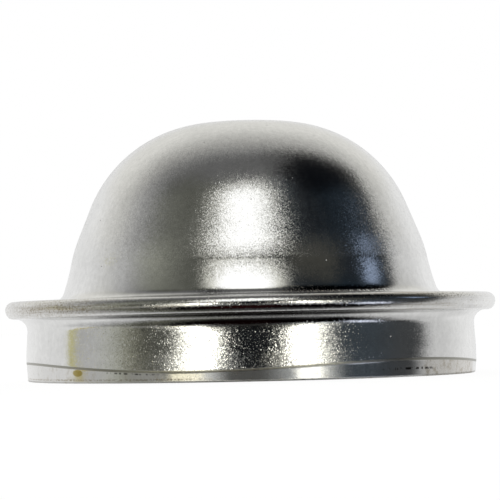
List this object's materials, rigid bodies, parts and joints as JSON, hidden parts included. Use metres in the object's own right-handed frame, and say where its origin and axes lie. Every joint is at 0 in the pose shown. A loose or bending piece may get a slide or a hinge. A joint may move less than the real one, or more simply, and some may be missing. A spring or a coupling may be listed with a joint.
{
  "type": "hub grease cap",
  "caption": "Domed pressed-steel grease cap with a folded flange and a short press-fit skirt; it closes the outer end of a wheel hub and keeps its bearing grease in.",
  "frame": {"origin": "centre of the skirt's lip, on the plane that the cap stands on", "axes": "+Z along the hub's axis, from the lip towards the crown; X and Y are free, as the cap is round"},
  "size_m": [0.0548, 0.0548, 0.0287],
  "materials": {
    "zinc_plated_steel": "bright zinc plate, fine satin"
  },
  "bodies": {
    "root": {"grease_cap": "zinc_plated_steel"}
  },
  "joints": []
}
